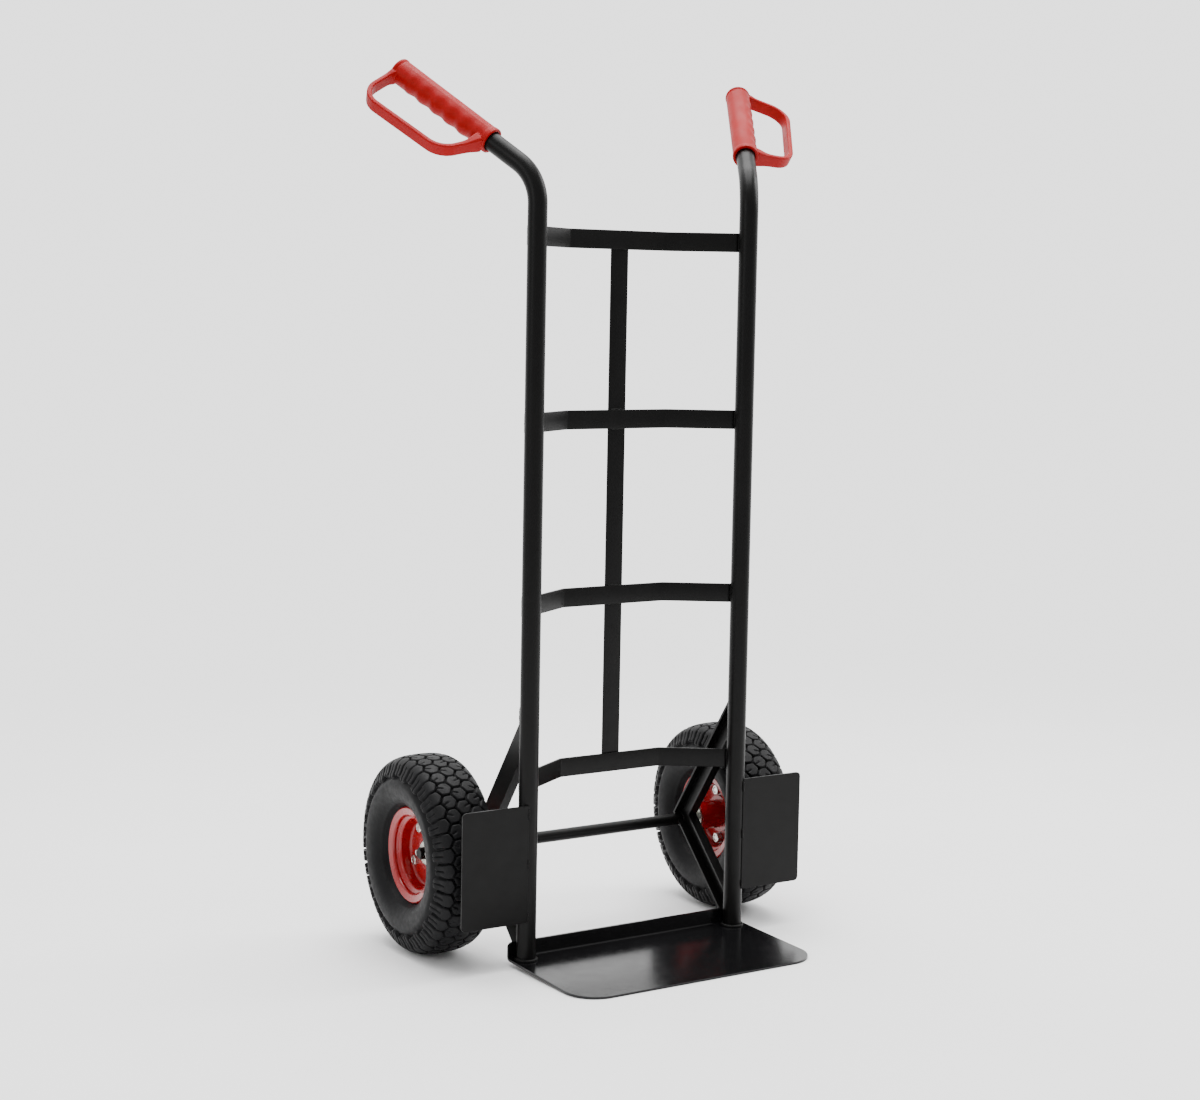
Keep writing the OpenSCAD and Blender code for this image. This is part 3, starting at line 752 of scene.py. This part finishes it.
# ---------------------------------------------------------------- grips
def guard_line(e):
    bpt, c = np.array((166 - e, 77 - e)), np.array((22 + e, 71 - e))
    a, d = np.array((GRIP_LEN - 0.5 - e, 14.0)), np.array((1.0 + e * 0.9 + 1.0, 14.0))
    pts = soften([d, c, bpt, a], [0, 34 - e, 30 - e, 0], 16, closed=False)
    return pts


def grip_parts():
    # sleeve with finger grooves on the guard's side
    ns, nt_ = 171, 72
    S_ = np.linspace(0, GRIP_LEN, ns)
    th = np.arange(nt_) * 2 * math.pi / nt_
    V = []
    for s_ in S_:
        base = 16.5
        rad = np.full(nt_, base)
        env = smooth(12, 24, np.array(s_)) * smooth(150, 138, np.array(s_))
        g_ = 0.5 - 0.5 * math.cos(2 * math.pi * (s_ - 19) / 24.2)
        wgt = np.clip(np.cos(th), 0, 1) ** 1.2
        rad = rad + wgt * env * (0.9 - 2.5 * g_)
        # flat facets either side of the top line
        rad = rad + 0.35 * np.exp(-((np.abs(th - math.pi * 0.5)) / 0.07) ** 2) * smooth(4, 14, np.array(s_)) * smooth(162, 150, np.array(s_))
        rad = rad + 0.75 * smooth(9, 5, np.array(s_)) + 0.8 * smooth(164.5, 166, np.array(s_)) - 0.7 * math.exp(-((s_ - 163.6) / 1.0) ** 2)
        rad = rad - 1.0 * smooth(168.6, 170, np.array(s_))
        V.append(np.stack([rad * np.cos(th), rad * np.sin(th), np.full(nt_, s_)], 1))
    V.append(np.stack([13.2 * np.cos(th), 13.2 * np.sin(th), np.full(nt_, 160.0)], 1))
    V.append(np.stack([13.2 * np.cos(th), 13.2 * np.sin(th), np.full(nt_, 0.0)], 1))
    V = np.vstack(V)
    F = []
    for i in range(ns - 1):
        for j in range(nt_):
            l = (j + 1) % nt_
            F.append((i * nt_ + j, i * nt_ + l, (i + 1) * nt_ + l, (i + 1) * nt_ + j))
    F.append(tuple((ns - 1) * nt_ + j for j in range(nt_)))
    b1, b0 = ns * nt_, (ns + 1) * nt_
    for j in range(nt_):
        l = (j + 1) % nt_
        F.append((b0 + j, b0 + l, b1 + l, b1 + j))
        F.append((0 * nt_ + l, j, b0 + j, b0 + l))
    F.append(tuple(b1 + nt_ - 1 - j for j in range(nt_)))
    # guard strap
    g2 = guard_line(3.3)
    path = np.c_[g2[:, 1], np.zeros(len(g2)), g2[:, 0]]  # X outwards, Z along the grip
    path = resample(path, 1.2)
    n = len(path)
    d = np.arange(n) * 1.2
    L = d[-1]
    sec = rrect(6.6, 17.0, 1.5, 4)
    parts = [(V, F)]
    SV, SF = sweep(path, sec, up=(0, 1, 0))
    SV = SV.reshape(n, len(sec), 3)
    tan = np.gradient(path, axis=0)
    tan /= np.linalg.norm(tan, axis=1)[:, None]
    for i in range(n):
        grow = 1 + 1.15 * math.exp(-(d[i] / 15) ** 2) + 0.35 * math.exp(-((L - d[i]) / 7) ** 2)
        a = np.cross((0, 1, 0), tan[i])
        rel = SV[i] - path[i]
        k = rel @ a
        wide = 1 + 0.35 * math.exp(-(d[i] / 14) ** 2) + 0.25 * math.exp(-((L - d[i]) / 7) ** 2)
        # thickens towards the loop's inside only, so the outline stays
        inward = np.array((0, 0, 1.0)) if d[i] < L / 2 else np.array((0, 0, -1.0))
        SV[i] = path[i] + np.outer(k * grow, a) + np.outer(rel @ np.array((0, 1, 0)) * wide, (0, 1, 0)) + inward * 3.3 * (grow - 1)
    parts.append((SV.reshape(-1, 3), SF))
    return parts


def fuse(name, parts, M, voxel, slot, body, replaces, smooth_n):
    V, F = join_parts(parts)
    V = (np.c_[V, np.ones(len(V))] @ M.T)[:, :3] / 1000
    me = bpy.data.meshes.new(name + "_raw")
    me.from_pydata(V.tolist(), [], F)
    bm = bmesh.new()
    bm.from_mesh(me)
    bmesh.ops.recalc_face_normals(bm, faces=bm.faces)
    bm.to_mesh(me)
    bm.free()
    o = bpy.data.objects.new(name, me)
    bpy.context.scene.collection.objects.link(o)
    r = o.modifiers.new("fuse", "REMESH")
    r.mode = "VOXEL"
    r.voxel_size = voxel / 1000
    r.use_smooth_shade = True
    sm = o.modifiers.new("soft", "SMOOTH")
    sm.factor = 0.5
    sm.iterations = smooth_n
    bpy.context.view_layer.update()
    out = bpy.data.meshes.new_from_object(o.evaluated_get(bpy.context.evaluated_depsgraph_get()))
    o.modifiers.clear()
    o.data = out
    for p in out.polygons:
        p.use_smooth = True
    dress(o, slot, body, replaces)
    return o


GP = grip_parts()
for s in (-1, 1):
    fuse(f"{SIDE[s]}_grip_moulding", GP, at_grip(s), 0.75, "grip_plastic", "frame", (f"{SIDE[s]}_grip",), 5)

# ---------------------------------------------------------------- welds
W_ = []
for s in (-1, 1):
    for nm, z in BARS.items():
        W_.append(weld([(s * 155.0, 11.9, z - 10.5), (s * 155.0, 11.9, z + 10.5)], 2.0, 2.6, seed=z))
        W_.append(weld([(s * 166.8, 12.4, z - 10.5), (s * 166.8, 12.4, z + 10.5)], 1.8, 2.6, seed=z + 2))
    a = np.linspace(0, 2 * math.pi, 60, endpoint=False)
    W_.append(weld(np.stack([s * XU + 13.3 * np.cos(a), 13.3 * np.sin(a), np.full(60, 3.9)], 1), 2.3, 2.8, True, 0.4 + s))
    for dx in (-5.4, 5.4):
        W_.append(weld([(s * XU + dx, 11.9, 7), (s * XU + dx, 11.9, 22)], 1.7, 2.4, seed=dx))
    for z0_, z1_ in ((188, 203), (124, 138), (58, 68)):
        W_.append(weld([(s * 166.6, -12.0, z0_), (s * 166.6, -12.0, z1_)], 1.6, 2.4, seed=z0_))
    W_.append(weld([(s * 168.2, 10.8, 268), (s * 168.2, 10.8, 330)], 2.0, 2.8, seed=5))
    W_.append(weld([(s * 168.2, 10.8, 28), (s * 168.2, 10.8, 52)], 2.0, 2.8, seed=6))
    for x in (168.3, 164.7):
        W_.append(weld(np.stack([np.full(48, s * x), AXLE_Y + 9.0 * np.cos(a[:48] * 60 / 48), AXLE_Z + 9.0 * np.sin(a[:48] * 60 / 48)], 1), 1.7, 2.5, True, x))
for k, (z, lo, hi) in enumerate((("top", 0, 9), ("upper", -12.5, 12.5), ("lower", -12.5, 12.5), ("bottom", -9, 0))):
    for q in (lo, hi):
        if q:
            W_.append(weld([(1.5 - 10.5, 65.0, BARS[z] + q), (1.5 + 10.5, 65.0, BARS[z] + q)], 1.6, 2.4, seed=k + q))
V, F = join_parts(W_)
make("frame_welds", V, F, "frame_paint", "frame", sharp=70)

# ---------------------------------------------------------------- the CAD nodes that stay
SLOT = {q["node"]: q["material_slot"] for q in frame["record"]["subparts"]}
for n, o in frame["nodes"].items():
    o.data.materials.clear()
    o.data.materials.append(MAT[SLOT[n]])

# ---------------------------------------------------------------- floor, light, camera
me = bpy.data.meshes.new("floor")
bm = bmesh.new()
bmesh.ops.create_grid(bm, x_segments=8, y_segments=8, size=30.0)
bm.to_mesh(me)
bm.free()
floor = bpy.data.objects.new("floor", me)
bpy.context.scene.collection.objects.link(floor)
m, nt, b = new_mat("floor_white")
n1 = noise(nt, 3, 2)
nt.links.new(ramp(nt, n1.outputs["Fac"], [(0.3, (0.86, 0.86, 0.86)), (0.7, (0.88, 0.88, 0.88))]), b.inputs["Base Color"])
b.inputs["Roughness"].default_value = 0.9
b.inputs["Specular IOR Level"].default_value = 0.1
LOOK = (0.51, 0.85, 0.12)
BACK = (-0.15, 0.80, 0.80, 2.3)


def backdrop(nt, src):
    """The same soft gradient for the world and for the far floor, so no horizon shows."""
    dot = nt.nodes.new("ShaderNodeVectorMath")
    dot.operation = "DOT_PRODUCT"
    dot.inputs[1].default_value = LOOK
    nt.links.new(src, dot.inputs[0])
    mr = nt.nodes.new("ShaderNodeMapRange")
    mr.interpolation_type = "SMOOTHSTEP"
    for k, v_ in zip(("From Min", "From Max", "To Min", "To Max"), BACK):
        mr.inputs[k].default_value = v_
    nt.links.new(dot.outputs["Value"], mr.inputs["Value"])
    return mr.outputs["Result"]


tc = nt.nodes["tc"]
ln = nt.nodes.new("ShaderNodeVectorMath")
ln.operation = "LENGTH"
nt.links.new(tc.outputs["Object"], ln.inputs[0])
far = nt.nodes.new("ShaderNodeMapRange")
far.interpolation_type = "SMOOTHSTEP"
for k, v_ in zip(("From Min", "From Max", "To Min", "To Max"), (0.7, 3.2, 0.0, 1.0)):
    far.inputs[k].default_value = v_
nt.links.new(ln.outputs["Value"], far.inputs["Value"])
nrm = nt.nodes.new("ShaderNodeVectorMath")
nrm.operation = "NORMALIZE"
nt.links.new(tc.outputs["Object"], nrm.inputs[0])
em = nt.nodes.new("ShaderNodeEmission")
nt.links.new(backdrop(nt, nrm.outputs["Vector"]), em.inputs["Strength"])
mix = nt.nodes.new("ShaderNodeMixShader")
nt.links.new(far.outputs["Result"], mix.inputs["Fac"])
nt.links.new(b.outputs["BSDF"], mix.inputs[1])
nt.links.new(em.outputs["Emission"], mix.inputs[2])
nt.links.new(mix.outputs["Shader"], nt.nodes["Material Output"].inputs["Surface"])
me.materials.append(m)

w = bpy.data.worlds.new("studio")
bpy.context.scene.world = w
w.use_nodes = True
nt = w.node_tree
bg = nt.nodes["Background"]
tc = nt.nodes.new("ShaderNodeTexCoord")
nt.links.new(backdrop(nt, tc.outputs["Generated"]), bg.inputs["Strength"])
bg.inputs["Color"].default_value = (1.0, 1.0, 1.0, 1)


def area(name, loc, target, size, power, color=(1, 1, 1)):
    l = bpy.data.lights.new(name, "AREA")
    l.shape = "RECTANGLE"
    l.size, l.size_y = size
    l.energy = power
    l.color = color
    o = bpy.data.objects.new(name, l)
    bpy.context.scene.collection.objects.link(o)
    o.location = loc
    o.rotation_euler = (Vector(target) - Vector(loc)).to_track_quat("-Z", "Y").to_euler()
    return o


area("top_softbox", (0.2, 0.4, 5.4), (0, 0.1, 0.0), (4.6, 4.6), 540)
area("right_softbox", (2.8, -0.6, 2.3), (0, 0, 0.3), (1.0, 1.6), 50)
area("left_fill", (-3.0, -0.6, 1.6), (0, 0, 0.4), (1.0, 1.4), 14)

# camera, solved in the truck's upright frame
CF, CCX, CCY = 2109.99, 600.0, 480.0
AZ, EL, ROLL = R(-31.519), R(4.915), R(-1.055)
CAM = np.array((-1472.4, -2298.76, 849.5, 1.0))
fwd = np.array((-math.sin(AZ) * math.cos(EL), math.cos(AZ) * math.cos(EL), -math.sin(EL)))
right = np.array((math.cos(AZ), math.sin(AZ), 0))
up = np.cross(right, fwd)
r0 = right * math.cos(ROLL) - up * math.sin(ROLL)
r1 = right * math.sin(ROLL) + up * math.cos(ROLL)
L3 = STANCE[:3, :3]
cam_data = bpy.data.cameras.new("camera")
cam_data.sensor_width = 36.0
cam_data.sensor_fit = "HORIZONTAL"
cam_data.lens = CF / 1200 * 36.0
cam_data.shift_x = (600 - CCX) / 1200
cam_data.shift_y = (CCY - 550) / 1200
cam_data.clip_end = 100
cam = bpy.data.objects.new("camera", cam_data)
bpy.context.scene.collection.objects.link(cam)
mw = np.eye(4)
mw[:3, 0], mw[:3, 1], mw[:3, 2] = L3 @ r0, L3 @ r1, -(L3 @ fwd)
mw[:3, 3] = (STANCE @ CAM)[:3] / 1000
cam.matrix_world = Matrix(mw.tolist())
bpy.context.scene.camera = cam
